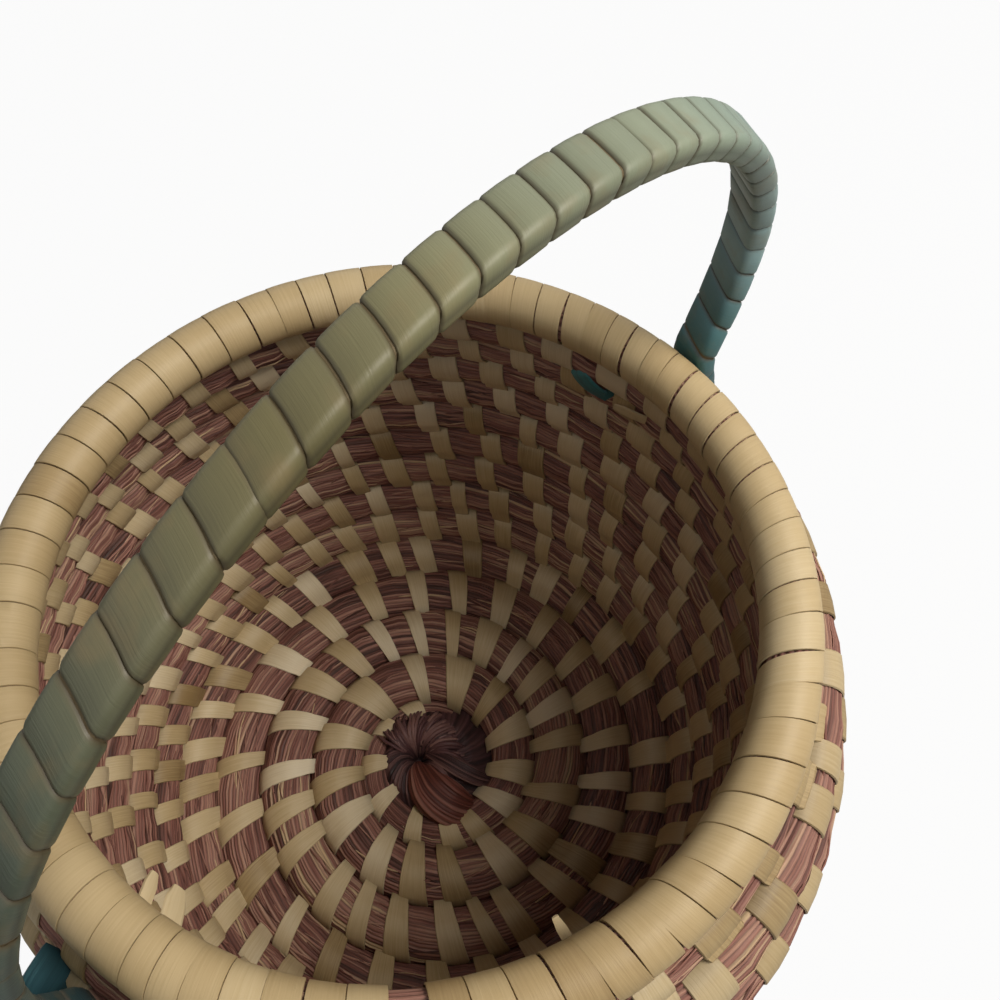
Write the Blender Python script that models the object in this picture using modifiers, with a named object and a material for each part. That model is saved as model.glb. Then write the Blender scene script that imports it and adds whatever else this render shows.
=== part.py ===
# Coiled basket with a strip-wrapped arch handle.
# One bundle of grass winds out from a knot, across the floor and up the bellied wall.
# Strips sew each row to the row below, bind the rim cord and wrap the handle.
# Origin: centre of the flat underside. +X runs to the near foot of the handle, +Z up. Metres.

import math

import bmesh
import bpy
import numpy as np
from mathutils import Matrix

# Bowl: the line through the row centres, from the axis out and up to the rim cord
rim_ring_radius = 0.0760
rim_height = 0.1446
belly_radius = 0.0920
belly_height = 0.0781
lower_wall_radius = 0.200
corner_radius = 0.024

# Grass bundle
floor_row_pitch = 0.0162
wall_row_pitch = 0.0141
pitch_blend = 0.006
row_gap = 0.0012
coil_start_azimuth = math.radians(202.5)
start_width_share = 0.288
end_width_share = 0.16
flat_cut_share = 0.10
points_per_turn = 24

# Starting knot
knot_radius = 0.0138
knot_height = 0.0118
knot_edge_rounding = 0.0022
knot_points = 32

# Rim cord
rim_cord_diameter = 0.0128
rim_core_diameter = 0.0094
rim_wrap_count = 69
rim_wrap_relief = 0.0005
rim_wrap_opening = 0.0050
rim_opening_azimuth = math.radians(45)
ring_points = 48

# Handle
handle_stand_off = 0.0073
handle_rise = 0.0677
handle_spring_height = 0.0234
handle_centre_offset = -0.0005
handle_lean = math.radians(-8.3)
handle_exponent = 1.89
handle_side_offset = 0.0113
handle_width = 0.0087
handle_thickness = 0.0042
handle_corner = 0.0011
handle_core_width = 0.0056
handle_core_thickness = 0.0018
handle_core_corner = 0.0005
handle_wrap_count = 41
handle_wrap_relief = 0.0003
handle_leg_height = 0.0060
foot_start_drop = 0.0130
foot_end_drop = 0.0300
handle_bore_points = 44

# Sewing strip
strip_width = 0.0050
strip_thickness = 0.0005
ray_count = 12
ray_start_radius = 0.030
tie_diameter = 0.0006
tie_side_clearance = 0.0020
tie_lift = 0.0004
groove_share = 0.22

# Fits
clearance = 0.0003
strip_clearance = 0.00035
rim_seat_gap = 0.0007
cut_overrun = 0.0040
weld_distance = 0.000001

colours = {
    "grass": (0.165, 0.085, 0.080),
    "knot": (0.120, 0.040, 0.040),
    "strip": (0.560, 0.420, 0.250),
    "rim": (0.640, 0.470, 0.280),
    "handle": (0.170, 0.240, 0.210),
    "tie": (0.045, 0.130, 0.150),
    "rod": (0.330, 0.230, 0.130),
}

# A six-sided bundle: the share of its radius at which its flats lie
flat_share = math.cos(math.pi / 6)

floor_row_radius = (floor_row_pitch - row_gap) / 2
wall_row_radius = (wall_row_pitch - row_gap) / 2
floor_height = floor_row_radius * (flat_share - 2 * flat_cut_share)


def clear_scene():
    for item in list(bpy.data.objects):
        bpy.data.objects.remove(item, do_unlink=True)


def make_collection(name):
    group = bpy.data.collections.new(name)
    bpy.context.scene.collection.children.link(group)
    return group


clear_scene()
basket = make_collection("coiled_basket")
cutters = make_collection("cutters")


# Blender helpers

def make_material(name, colour, roughness):
    material = bpy.data.materials.new(name)
    material.use_nodes = True
    shader = material.node_tree.nodes["Principled BSDF"]
    shader.inputs["Base Color"].default_value = (*colour, 1.0)
    shader.inputs["Roughness"].default_value = roughness
    shader.inputs["Metallic"].default_value = 0.0
    return material


def add_object(name, data, group):
    item = bpy.data.objects.new(name, data)
    group.objects.link(item)
    if group is cutters:
        item.hide_render = True
        item.display_type = "WIRE"
    return item


def finish(item, colour_name, roughness, crease=math.radians(35)):
    item.data.materials.clear()
    item.data.materials.append(make_material(item.name + "_finish", colours[colour_name], roughness))
    item.data.shade_smooth()
    item.data.set_sharp_from_angle(angle=crease)
    return item


def make_tube(name, points, radii, group, depth, sides_level=1, tilts=None, closed=False, section=None):
    """A poly curve with a round bevel, or with the outline of section; radii scale it."""
    curve = bpy.data.curves.new(name, "CURVE")
    curve.dimensions = "3D"
    curve.twist_mode = "Z_UP"
    curve.use_fill_caps = True
    curve.render_resolution_u = 0
    if section is None:
        curve.bevel_depth = depth
        curve.bevel_resolution = sides_level
    else:
        curve.bevel_mode = "OBJECT"
        curve.bevel_object = section
    spline = curve.splines.new("POLY")
    spline.points.add(len(points) - 1)
    for index, place in enumerate(points):
        spline.points[index].co = (*place, 1.0)
        spline.points[index].radius = radii[index] / depth
        if tilts is not None:
            spline.points[index].tilt = tilts[index]
    spline.use_cyclic_u = closed
    return add_object(name, curve, group)


def to_mesh(item):
    """Replace a curve object with its own mesh, its caps welded."""
    bpy.context.view_layer.update()
    graph = bpy.context.evaluated_depsgraph_get()
    mesh = bpy.data.meshes.new_from_object(item.evaluated_get(graph))
    name, place, group, curve = item.name, item.matrix_world.copy(), item.users_collection[0], item.data
    bpy.data.objects.remove(item, do_unlink=True)
    bpy.data.curves.remove(curve)
    work = bmesh.new()
    work.from_mesh(mesh)
    bmesh.ops.remove_doubles(work, verts=work.verts, dist=weld_distance)
    bmesh.ops.recalc_face_normals(work, faces=work.faces)
    work.to_mesh(mesh)
    work.free()
    mesh.name = name
    solid = add_object(name, mesh, group)
    solid.matrix_world = place
    return solid


def cut(target, cutter):
    step = target.modifiers.new(cutter.name, "BOOLEAN")
    step.operation = "DIFFERENCE"
    step.solver = "EXACT"
    step.object = cutter
    return target


def flat_outline(name, loops, half_thickness, group):
    """A filled 2D curve: the first loop is the outline, the others are holes."""
    curve = bpy.data.curves.new(name, "CURVE")
    curve.dimensions = "2D"
    curve.fill_mode = "BOTH"
    curve.extrude = half_thickness
    curve.render_resolution_u = 0
    for loop in loops:
        spline = curve.splines.new("POLY")
        spline.points.add(len(loop) - 1)
        for index, (across, up) in enumerate(loop):
            spline.points[index].co = (across, up, 0.0, 1.0)
        spline.use_cyclic_u = True
    return add_object(name, curve, group)


# The line of the row centres

upper_wall_radius = (((belly_radius - rim_ring_radius) ** 2 + (rim_height - belly_height) ** 2)
                     / (2 * (belly_radius - rim_ring_radius)))
corner_height = floor_height + corner_radius
lower_centre = belly_radius - lower_wall_radius
upper_centre = belly_radius - upper_wall_radius
corner_centre = lower_centre + math.sqrt((lower_wall_radius - corner_radius) ** 2
                                         - (belly_height - corner_height) ** 2)
lower_turn = math.atan2(belly_height - corner_height, corner_centre - lower_centre)
floor_length = corner_centre
corner_length = corner_radius * (math.pi / 2 - lower_turn)
lower_length = lower_wall_radius * lower_turn
upper_length = upper_wall_radius * math.asin((rim_height - belly_height) / upper_wall_radius)
row_line_length = floor_length + corner_length + lower_length + upper_length


def row_line(distance, outward=0.0):
    """Radius, height and slope at a distance along the line from the axis.
    The flat floor, a corner arc, a slack arc up to the belly and an arc in to the rim.
    outward moves the point square to the line, away from the inside of the bowl."""
    if distance < floor_length:
        radius, height, slope = distance, floor_height, 0.0
    elif distance < floor_length + corner_length:
        slope = (distance - floor_length) / corner_radius
        radius = corner_centre + corner_radius * math.sin(slope)
        height = corner_height - corner_radius * math.cos(slope)
    elif distance < floor_length + corner_length + lower_length:
        turn = lower_turn - (distance - floor_length - corner_length) / lower_wall_radius
        radius = lower_centre + lower_wall_radius * math.cos(turn)
        height = belly_height - lower_wall_radius * math.sin(turn)
        slope = math.pi / 2 - turn
    else:
        turn = (distance - floor_length - corner_length - lower_length) / upper_wall_radius
        radius = upper_centre + upper_wall_radius * math.cos(turn)
        height = belly_height + upper_wall_radius * math.sin(turn)
        slope = math.pi / 2 + turn
    return radius + outward * math.sin(slope), height - outward * math.cos(slope), slope


# The coil: edges of the row along the line, one value for each point of the spiral

rim_radius = rim_cord_diameter / 2
handle_half_span = rim_ring_radius + rim_radius + handle_stand_off + handle_thickness / 2
knot_seat = knot_radius + row_gap / 2
start_edge = knot_seat + start_width_share * floor_row_pitch
top_edge = row_line_length - rim_radius - rim_seat_gap


def pitch_at(edge):
    """The rows narrow smoothly from the floor to the wall."""
    wall_part = 1 / (1 + math.exp(-(edge - floor_length) / pitch_blend))
    return floor_row_pitch + (wall_row_pitch - floor_row_pitch) * wall_part


def coil_rows():
    """Inner and outer edge of the bundle at each step of the spiral.
    The bundle starts thin beside the knot and thins out again under the level rim cord."""
    outer = [start_edge]
    while outer[-1] < top_edge:
        outer.append(min(top_edge, outer[-1] + pitch_at(outer[-1]) / points_per_turn))
    outer += [top_edge] * points_per_turn
    rows = []
    for index, edge in enumerate(outer):
        if index < points_per_turn:
            inner = knot_seat + (start_edge - knot_seat) * index / points_per_turn
        else:
            inner = outer[index - points_per_turn]
        if index > points_per_turn and edge - inner < end_width_share * wall_row_pitch:
            break
        rows.append((inner, edge))
    return rows


rows = coil_rows()
step_angle = 2 * math.pi / points_per_turn


def row_section(index):
    """Azimuth, radius, height, slope and bundle radius at a step, which may be half way."""
    low = int(index)
    high = min(low + (index > low), len(rows) - 1)
    inner = (rows[low][0] + rows[high][0]) / 2
    outer = (rows[low][1] + rows[high][1]) / 2
    radius, height, slope = row_line((inner + outer) / 2)
    width = outer - inner
    bundle = width / 2 * (1 - row_gap / max(width, wall_row_pitch))
    azimuth = coil_start_azimuth + index * step_angle
    if index > low:
        radius *= math.cos(step_angle / 2)
    return azimuth, radius, height, slope, bundle


def around(azimuth, radius, height):
    """World place at an azimuth, a radius and a height."""
    return radius * math.cos(azimuth), radius * math.sin(azimuth), height


def chord_share(azimuth):
    """How far in a straight run of the faceted coil lies, against its round path."""
    past_middle = (azimuth - coil_start_azimuth) % step_angle - step_angle / 2
    return math.cos(step_angle / 2) / math.cos(past_middle)


def report_least_gap(points, radii):
    """Least distance between the bundle's turns, measured on its points."""
    places = np.array(points)
    sizes = np.array(radii)
    least = math.inf
    near = points_per_turn // 2
    for index in range(len(places) - near):
        apart = np.linalg.norm(places[index + near:] - places[index], axis=1)
        least = min(least, float((apart - sizes[index + near:] - sizes[index]).min()))
    print("Coil: %.1f turns, least gap to itself %.2f mm" % (len(places) / points_per_turn, least * 1000))


def make_coil():
    points, radii, tilts = [], [], []
    for index in range(len(rows)):
        azimuth, radius, height, slope, bundle = row_section(index)
        points.append(around(azimuth, radius, height))
        radii.append(bundle)
        tilts.append(-slope)
    report_least_gap(points, radii)
    coil = make_tube("grass_coil", points, radii, basket, wall_row_radius, tilts=tilts)
    return finish(cut(to_mesh(coil), make_floor_cutter("coil_base_cutter", 0.0)), "grass", 0.75)


def make_floor_cutter(name, level):
    """Everything below a level, down to an overrun under the standing plane."""
    reach = 2 * belly_radius
    bpy.ops.mesh.primitive_cube_add(size=1.0, location=(0.0, 0.0, (level - cut_overrun) / 2))
    cutter = bpy.context.object
    cutter.name = name
    cutter.data.transform(Matrix.Diagonal((2 * reach, 2 * reach, level + cut_overrun, 1.0)))
    for group in cutter.users_collection:
        group.objects.unlink(cutter)
    cutters.objects.link(cutter)
    cutter.hide_render = True
    cutter.display_type = "WIRE"
    return cutter


def make_knot():
    """The turned-over start of the bundle: a low cam that fills the space inside the first turn."""
    outline = []
    growth = start_edge - knot_seat
    step_gap = row_gap / 2 / knot_radius
    for index in range(knot_points):
        turn = (2 * math.pi - step_gap) * index / (knot_points - 1)
        radius = knot_radius + growth * turn / (2 * math.pi)
        azimuth = coil_start_azimuth + turn
        outline.append((radius * math.cos(azimuth), radius * math.sin(azimuth)))
    knot = to_mesh(flat_outline("start_knot", [outline], knot_height / 2, basket))
    knot.data.transform(Matrix.Translation((0.0, 0.0, knot_height / 2)))
    rounding = knot.modifiers.new("rounding", "BEVEL")
    rounding.width = knot_edge_rounding
    rounding.segments = 2
    rounding.limit_method = "ANGLE"
    rounding.angle_limit = math.radians(60)
    return finish(knot, "knot", 0.7)


# Rim cord

def ring_places(start, end, count):
    return [around(start + (end - start) * index / count, rim_ring_radius, rim_height)
            for index in range(count + 1)]


def make_rim():
    core_radius = rim_core_diameter / 2
    turn = 2 * math.pi
    core_places = ring_places(rim_opening_azimuth, rim_opening_azimuth + turn, ring_points)[:-1]
    core = to_mesh(make_tube("rim_core", core_places, [core_radius] * ring_points, basket, core_radius,
                             sides_level=2, closed=True))
    finish(core, "grass", 0.75)

    half_opening = rim_wrap_opening / 2 / rim_ring_radius
    first = rim_opening_azimuth + half_opening
    wrap_angle = (turn - 2 * half_opening) / rim_wrap_count
    places, radii = [], []
    for index in range(rim_wrap_count):
        for share, radius in ((0.0, rim_radius - rim_wrap_relief), (groove_share, rim_radius)):
            places.append(around(first + (index + share) * wrap_angle, rim_ring_radius, rim_height))
            radii.append(radius)
    places.append(around(first + rim_wrap_count * wrap_angle, rim_ring_radius, rim_height))
    radii.append(rim_radius - rim_wrap_relief)
    wrap = to_mesh(make_tube("rim_wrap", places, radii, basket, rim_radius, sides_level=2))

    bore_radius = core_radius + clearance
    bore_places = core_places[:]
    margin = half_opening / 2
    bore_places[0] = around(rim_opening_azimuth + margin, rim_ring_radius, rim_height)
    bore_places.append(around(rim_opening_azimuth + turn - margin, rim_ring_radius, rim_height))
    bore = to_mesh(make_tube("rim_bore_cutter", bore_places, [bore_radius] * len(bore_places), cutters,
                             bore_radius, sides_level=2))
    cut(wrap, bore)
    return core, finish(wrap, "rim", 0.45)


# Handle

def arch_place(turn):
    """A superellipse that leans a little, across and up, in the plane of the handle."""
    across = math.copysign(abs(math.cos(turn)) ** (2 / handle_exponent), math.cos(turn)) * handle_half_span
    up = math.copysign(abs(math.sin(turn)) ** (2 / handle_exponent), math.sin(turn)) * handle_rise
    return np.array([handle_centre_offset + across * math.cos(handle_lean) - up * math.sin(handle_lean),
                     rim_height + handle_spring_height
                     + across * math.sin(handle_lean) + up * math.cos(handle_lean)])


foot_stand_off = wall_row_radius * flat_share + clearance + handle_thickness / 2


def foot_place(drop, side):
    """A point of the foot, which lies on the outside of the wall, at a drop along the wall."""
    radius, height = row_line(row_line_length - drop, foot_stand_off)[:2]
    return np.array([side * radius, height])


def ease(start, start_way, end, end_way, count):
    """Points on a cubic between two places, leaving and arriving along the given ways."""
    share = np.linspace(0, 1, count, endpoint=False)[:, None]
    return ((2 * share ** 3 - 3 * share ** 2 + 1) * start + (share ** 3 - 2 * share ** 2 + share) * start_way
            + (-2 * share ** 3 + 3 * share ** 2) * end + (share ** 3 - share ** 2) * end_way)


def handle_line():
    """The handle's centre line from the near foot over the arch to the far foot, finely spaced."""
    turns = np.linspace(-math.pi / 2, 3 * math.pi / 2, 720)
    arch = np.array([arch_place(turn) for turn in turns])
    above = np.where(arch[:, 1] > rim_height + handle_leg_height)[0]
    arch = arch[above[0]:above[-1] + 1]
    drops = np.linspace(foot_end_drop, foot_start_drop, 12)
    near_foot = np.array([foot_place(drop, 1) for drop in drops])
    far_foot = np.array([foot_place(drop, -1) for drop in drops[::-1]])

    def bridge(before, after):
        reach = np.linalg.norm(after[0] - before[-1])
        leave = (before[-1] - before[-2]) / np.linalg.norm(before[-1] - before[-2]) * reach
        arrive = (after[1] - after[0]) / np.linalg.norm(after[1] - after[0]) * reach
        return ease(before[-1], leave, after[0], arrive, 12)[1:]

    return np.vstack([near_foot, bridge(near_foot, arch), arch, bridge(arch, far_foot), far_foot])


def along(line, shares):
    """Places at shares of the length of a line."""
    reach = np.concatenate([[0.0], np.cumsum(np.linalg.norm(np.diff(line, axis=0), axis=1))])
    wanted = np.array(shares) * reach[-1]
    return np.stack([np.interp(wanted, reach, line[:, axis]) for axis in range(2)], axis=1)


def rod_section(name, width, thickness, corner):
    """Outline of a flat rod with cut corners, to sweep along the handle."""
    half_width, half_thickness = width / 2, thickness / 2
    curve = bpy.data.curves.new(name, "CURVE")
    curve.dimensions = "2D"
    curve.fill_mode = "NONE"
    spline = curve.splines.new("POLY")
    outline = [(half_thickness, half_width - corner), (half_thickness - corner, half_width),
               (corner - half_thickness, half_width), (-half_thickness, half_width - corner),
               (-half_thickness, corner - half_width), (corner - half_thickness, -half_width),
               (half_thickness - corner, -half_width), (half_thickness, corner - half_width)]
    spline.points.add(len(outline) - 1)
    for index, (across, up) in enumerate(outline):
        spline.points[index].co = (across, up, 0.0, 1.0)
    spline.use_cyclic_u = True
    return add_object(name, curve, cutters)


def sweep_rod(name, line, shares, scales, section, group):
    """A rod along the handle's line, drawn in its own plane and stood up beside the axis."""
    places = [(across, up, 0.0) for across, up in along(line, shares)]
    rod = make_tube(name, places, scales, group, 1.0, section=section)
    rod.matrix_world = (Matrix.Translation((0.0, handle_side_offset, 0.0))
                        @ Matrix.Rotation(math.pi / 2, 4, "X"))
    return to_mesh(rod)


def make_handle():
    line = handle_line()
    length = float(np.sum(np.linalg.norm(np.diff(line, axis=0), axis=1)))
    end_share = clearance / length
    core_section = rod_section("handle_core_section", handle_core_width, handle_core_thickness,
                               handle_core_corner)
    bore_section = rod_section("handle_bore_section", handle_core_width + 2 * clearance,
                               handle_core_thickness + 2 * clearance, handle_core_corner)
    wrap_section = rod_section("handle_wrap_section", handle_width, handle_thickness, handle_corner)
    stations = np.linspace(0, 1, handle_bore_points)
    core_stations = end_share + (1 - 2 * end_share) * stations
    core = sweep_rod("handle_core", line, core_stations, [1.0] * handle_bore_points, core_section, basket)
    finish(core, "rod", 0.6)

    groove = 1 - 2 * handle_wrap_relief / handle_thickness
    shares, scales = [], []
    for index in range(handle_wrap_count):
        shares += [index / handle_wrap_count, (index + groove_share) / handle_wrap_count]
        scales += [groove, 1.0]
    wrap = sweep_rod("handle_wrap", line, shares + [1.0], scales + [groove], wrap_section, basket)

    ends = [line[0] + (line[0] - line[1]) / np.linalg.norm(line[0] - line[1]) * cut_overrun,
            line[-1] + (line[-1] - line[-2]) / np.linalg.norm(line[-1] - line[-2]) * cut_overrun]
    bore_line = np.vstack([ends[0], line, ends[1]])
    bore_length = length + 2 * cut_overrun
    bore_stations = np.concatenate([[0.0], (cut_overrun + core_stations * length) / bore_length, [1.0]])
    bore = sweep_rod("handle_bore_cutter", bore_line, bore_stations, [1.0] * len(bore_stations),
                     bore_section, cutters)
    return core, finish(cut(wrap, bore), "handle", 0.5)


# Sewing

def stitch_ray(number, step, base_cutter):
    """A ray of stitches: loops of strip, each round one row and through the one below it.
    Drawn in the upright plane half way along a step of the coil, and clear of the ground."""
    holes, inside, outside = [], [], []
    azimuth = coil_start_azimuth + (step + 0.5) * step_angle
    index = step + 0.5
    while index + 1 < len(rows):
        _, radius, height, slope, bundle = row_section(index)
        index += points_per_turn
        if radius < ray_start_radius or bundle < wall_row_radius / 2:
            continue
        way = np.array([math.cos(slope), math.sin(slope)])
        square = np.array([math.sin(slope), -math.cos(slope)])
        centre = np.array([radius, height])
        opening = bundle + strip_clearance
        holes.append([centre + opening * (math.cos(turn) * way + math.sin(turn) * square)
                      for turn in np.arange(6) * math.pi / 3])
        face = opening * flat_share + strip_thickness
        corner = opening / 2 + strip_thickness / 2
        tip = opening + strip_thickness / 2
        outside += [centre + face * square - corner * way, centre + face * square + corner * way]
        inside += [centre - face * square - corner * way, centre - face * square + corner * way]
        if len(holes) == 1:
            first_tip = centre - tip * way
        last_tip = centre + tip * way
    outline = [first_tip] + outside + [last_tip] + inside[::-1]
    ray = flat_outline("stitch_ray_%02d" % number, [outline] + holes, strip_width / 2, basket)
    ray.matrix_world = Matrix.Rotation(azimuth, 4, "Z") @ Matrix.Rotation(math.pi / 2, 4, "X")
    return finish(cut(to_mesh(ray), base_cutter), "strip", 0.45)


def slit(azimuth, drop):
    """Distance along the line of the slit between two rows nearest to a drop below the rim."""
    steps = ((azimuth - coil_start_azimuth) / step_angle) % points_per_turn
    edges = []
    while steps < len(rows) - 1:
        low = int(steps)
        edges.append(rows[low][1] + (rows[low + 1][1] - rows[low][1]) * (steps - low))
        steps += points_per_turn
    wanted = row_line_length - drop
    return min(edges, key=lambda edge: abs(edge - wanted))


def make_tie(name, side):
    """A strip that holds the foot: out through one slit, across the foot, back through the next."""
    reach = handle_width / 2 + tie_side_clearance
    middle_drop = (foot_start_drop + foot_end_drop) / 2
    inside = -(wall_row_radius * flat_share + clearance + tie_diameter / 2)
    outside = foot_stand_off + handle_thickness / 2 + clearance + tie_diameter / 2 + tie_lift
    places = []
    for way, half_row in ((-1, -wall_row_pitch / 2), (1, wall_row_pitch / 2)):
        aside = handle_side_offset + way * reach
        azimuth = math.atan2(aside, side * row_line(row_line_length - middle_drop)[0])
        distance = slit(azimuth, middle_drop + half_row)
        inner_radius, inner_height = row_line(distance, inside)[:2]
        outer_radius, outer_height = row_line(distance, outside)[:2]
        strand = [around(azimuth, inner_radius * chord_share(azimuth), inner_height),
                  (side * outer_radius, aside, outer_height)]
        places += strand if way < 0 else strand[::-1]
    tie = to_mesh(make_tube(name, places, [tie_diameter / 2] * len(places), basket, tie_diameter / 2,
                            sides_level=1, closed=True))
    return finish(tie, "tie", 0.5)


make_coil()
make_knot()
make_rim()
make_handle()
ray_base_cutter = make_floor_cutter("ray_base_cutter", clearance)
for ray_number in range(ray_count):
    stitch_ray(ray_number + 1, ray_number * points_per_turn // ray_count, ray_base_cutter)
make_tie("near_foot_tie", 1)
make_tie("far_foot_tie", -1)
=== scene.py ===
import math

import bpy
import numpy as np
from mathutils import Matrix, Vector


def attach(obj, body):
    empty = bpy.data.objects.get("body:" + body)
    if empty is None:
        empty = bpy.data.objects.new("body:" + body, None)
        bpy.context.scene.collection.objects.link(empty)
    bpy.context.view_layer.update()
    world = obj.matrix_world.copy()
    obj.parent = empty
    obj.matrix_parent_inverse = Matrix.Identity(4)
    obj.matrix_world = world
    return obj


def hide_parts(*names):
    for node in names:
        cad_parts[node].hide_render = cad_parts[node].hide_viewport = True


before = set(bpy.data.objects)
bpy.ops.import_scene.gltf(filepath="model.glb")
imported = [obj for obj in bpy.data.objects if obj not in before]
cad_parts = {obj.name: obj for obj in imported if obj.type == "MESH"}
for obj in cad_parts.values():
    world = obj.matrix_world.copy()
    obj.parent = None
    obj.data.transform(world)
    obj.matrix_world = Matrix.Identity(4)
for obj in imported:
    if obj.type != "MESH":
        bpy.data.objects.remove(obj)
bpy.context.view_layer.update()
fullTurn = 2 * math.pi
scene = bpy.context.scene
print("Frame loaded")


# General helpers

def linearColour(code):
    # the linear colour of an sRGB hex code
    shares = np.array([int(code[place:place + 2], 16) for place in (1, 3, 5)]) / 255
    shares = np.where(shares <= 0.04045, shares / 12.92, ((shares + 0.055) / 1.055) ** 2.4)
    return (*[float(share) for share in shares], 1.0)


def bump(value, centre, spread):
    # a smooth hill of height 1
    return np.exp(-((value - centre) / spread) ** 2)


def azimuthBump(azimuth, centre, spread):
    # the same hill round one azimuth, all in degrees
    return bump((azimuth - centre + 180) % 360, 180, spread)


def ease(share):
    # from 0 to 1, level at both ends
    return share * share * (3 - 2 * share)


def wander(places, period, count, seed):
    # smooth random rows from -1 to 1: one column for each of count, changing over a period along places
    chance = np.random.default_rng(seed)
    at = np.asarray(places) / period
    at = at - at.min()
    knots = chance.uniform(-1, 1, (int(at.max()) + 3, count))
    low = at.astype(int)
    part = ease(at - low)[:, None]
    return knots[low] * (1 - part) + knots[low + 1] * part


def sectionRadius(angle, half, thick, exponent):
    # a superellipse: how far its edge lies from the centre in a direction
    return ((np.abs(np.cos(angle)) / half) ** exponent
        + (np.abs(np.sin(angle)) / thick) ** exponent) ** (-1 / exponent)


def unit(vectors):
    return vectors / np.maximum(np.linalg.norm(vectors, axis=-1, keepdims=True), 1e-12)


def polar(radius, azimuth, height):
    # points from their distance to the axis, azimuth in radians and height
    return np.stack(np.broadcast_arrays(radius * np.cos(azimuth), radius * np.sin(azimuth), height), axis=-1)


def lengthAlong(line):
    # the length from a line's start to each of its points
    return np.concatenate([[0], np.cumsum(np.linalg.norm(np.diff(line, axis=0), axis=1))])


def spoke(reach, angle, first, second):
    # a step of this reach, at this angle from the first direction to the second
    return (reach * np.cos(angle))[..., None] * first + (reach * np.sin(angle))[..., None] * second


def tubes(line, side, upward, radius, sides, flatness=1.0):
    # thin tubes round lines of stems x stations x 3, with a radius at each station
    turn = np.arange(sides) / sides * fullTurn
    return line[:, :, None] + spoke(radius[..., None], turn, side[:, :, None], upward[:, :, None] * flatness)


def gridMesh(name, points, uv, material, replaced=(), values=None, crease=None, closedAlong=False):
    # points is pieces x along x across x 3, closed across; its ends are capped or joined
    pieces, along, across = points.shape[:3]
    index = np.arange(pieces * along * across).reshape(pieces, along, across)
    beside = np.roll(index, -1, axis=2)
    if closedAlong:
        nextIndex, nextBeside = np.roll(index, -1, axis=1), np.roll(beside, -1, axis=1)
    else:
        nextIndex, nextBeside = index[:, 1:], beside[:, 1:]
        index, beside = index[:, :-1], beside[:, :-1]
    quads = np.stack([index, beside, nextBeside, nextIndex], axis=-1).reshape(-1, 4)
    quadUv = np.stack([uv[:, :-1, :-1], uv[:, :-1, 1:], uv[:, 1:, 1:], uv[:, 1:, :-1]], axis=3).reshape(-1, 4, 2)
    flat = points.reshape(-1, 3)
    corners = flat[quads]
    area = np.cross(corners[:, 2] - corners[:, 0], corners[:, 3] - corners[:, 1])
    inward = float(np.sum((corners.mean(axis=1) - flat.mean(axis=0)) * area)) < 0
    order = -1 if inward else 1
    loops, loopUv, sizes = quads[:, ::order].ravel(), quadUv[:, ::order].reshape(-1, 2), [4] * len(quads)
    if not closedAlong:
        caps = np.concatenate([index[:, 0, ::-1], nextIndex[:, -1]])[:, ::order]
        capUv = np.concatenate([uv[:, 0, :-1][:, ::-1], uv[:, -1, :-1]])[:, ::order]
        loops = np.concatenate([loops, caps.ravel()])
        loopUv = np.concatenate([loopUv, capUv.reshape(-1, 2)])
        sizes += [across] * len(caps)
    mesh = bpy.data.meshes.new(name)
    mesh.vertices.add(len(flat))
    mesh.vertices.foreach_set("co", flat.astype(np.float32).ravel())
    mesh.loops.add(len(loops))
    mesh.polygons.add(len(sizes))
    mesh.polygons.foreach_set("loop_start", np.concatenate([[0], np.cumsum(sizes)[:-1]]).astype(np.int32))
    mesh.polygons.foreach_set("vertices", loops.astype(np.int32))
    mesh.uv_layers.new(name="UVMap").data.foreach_set("uv", loopUv.astype(np.float32).ravel())
    for key, numbers in (values or {}).items():
        mesh.attributes.new(key, "FLOAT", "POINT").data.foreach_set("value",
            np.broadcast_to(numbers, points.shape[:3]).astype(np.float32).ravel())
    mesh.update(calc_edges=True)
    smooth = np.ones(len(sizes), bool)
    smooth[len(quads):] = False
    mesh.polygons.foreach_set("use_smooth", smooth)
    if crease is not None:
        mesh.set_sharp_from_angle(angle=math.radians(crease))
    item = bpy.data.objects.new(name, mesh)
    scene.collection.objects.link(item)
    mesh.materials.append(material)
    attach(item, "root")
    if replaced:
        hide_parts(*replaced)


def gridUv(lengths, widths):
    # a texture grid in metres, u along and v across, from pieces x along and pieces x (across + 1)
    return np.stack(np.broadcast_arrays(lengths[:, :, None], widths[:, None, :]), axis=-1)


def stemUv(lengths, sides, chance):
    # each stem has its own stretch of the fibres
    alongShift, acrossShift = chance.random((2, len(lengths), 1))
    return gridUv(lengths + alongShift, np.arange(sides + 1)[None] * 0.0005 + acrossShift)


# Materials

def setInputs(tree, node, inputs):
    for key, value in inputs.items():
        if isinstance(value, bpy.types.NodeSocket):
            tree.links.new(value, node.inputs[key])
        else:
            node.inputs[key].default_value = value


def addNode(tree, kind, settings=None, inputs=None, output=0):
    # adds a node, links or sets its inputs and gives back one of its outputs
    node = tree.nodes.new("ShaderNode" + kind)
    for key, value in (settings or {}).items():
        if key == "ramp":
            while len(node.color_ramp.elements) < len(value):
                node.color_ramp.elements.new(0.5)
            for element, (place, code) in zip(node.color_ramp.elements, value):
                element.position = place
                element.color = linearColour(code)
        else:
            setattr(node, key, value)
    setInputs(tree, node, inputs or {})
    return node.outputs[output]


def attribute(tree, name):
    return addNode(tree, "Attribute", {"attribute_name": name}, output="Fac")


def combine(tree, operation, *values):
    return addNode(tree, "Math", {"operation": operation}, dict(enumerate(values)))


def newMaterial(name):
    material = bpy.data.materials.new(name)
    material.use_nodes = True
    tree = material.node_tree
    return material, tree, tree.nodes["Principled BSDF"]


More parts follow.
